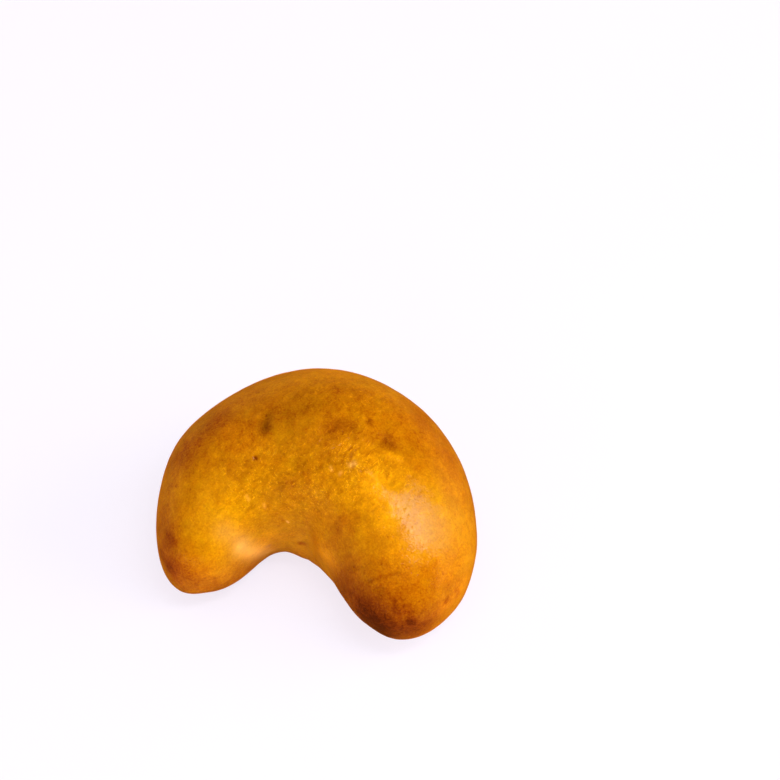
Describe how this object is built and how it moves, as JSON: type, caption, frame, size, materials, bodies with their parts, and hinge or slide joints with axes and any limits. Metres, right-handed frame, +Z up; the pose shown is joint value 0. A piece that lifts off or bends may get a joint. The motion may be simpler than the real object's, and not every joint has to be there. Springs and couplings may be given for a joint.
{
  "type": "crescent bread bun",
  "caption": "Plump crescent-shaped filled bread bun, bent into two blunt lobes round an open notch, with a domed egg-washed crust and a flat base.",
  "frame": {"origin": "centre of the bun's box in plan, on the plane of its flat base", "axes": "+X across the crescent from the left lobe to the right lobe, +Y towards the bent back, with the notch open to -Y, +Z up"},
  "size_m": [0.0892, 0.0728, 0.043],
  "materials": {
    "crust": "golden egg-washed bread crust, satin with a soft gloss, browner at the tips and along the lower edge"
  },
  "bodies": {
    "root": {"bun": "crust"}
  },
  "joints": []
}
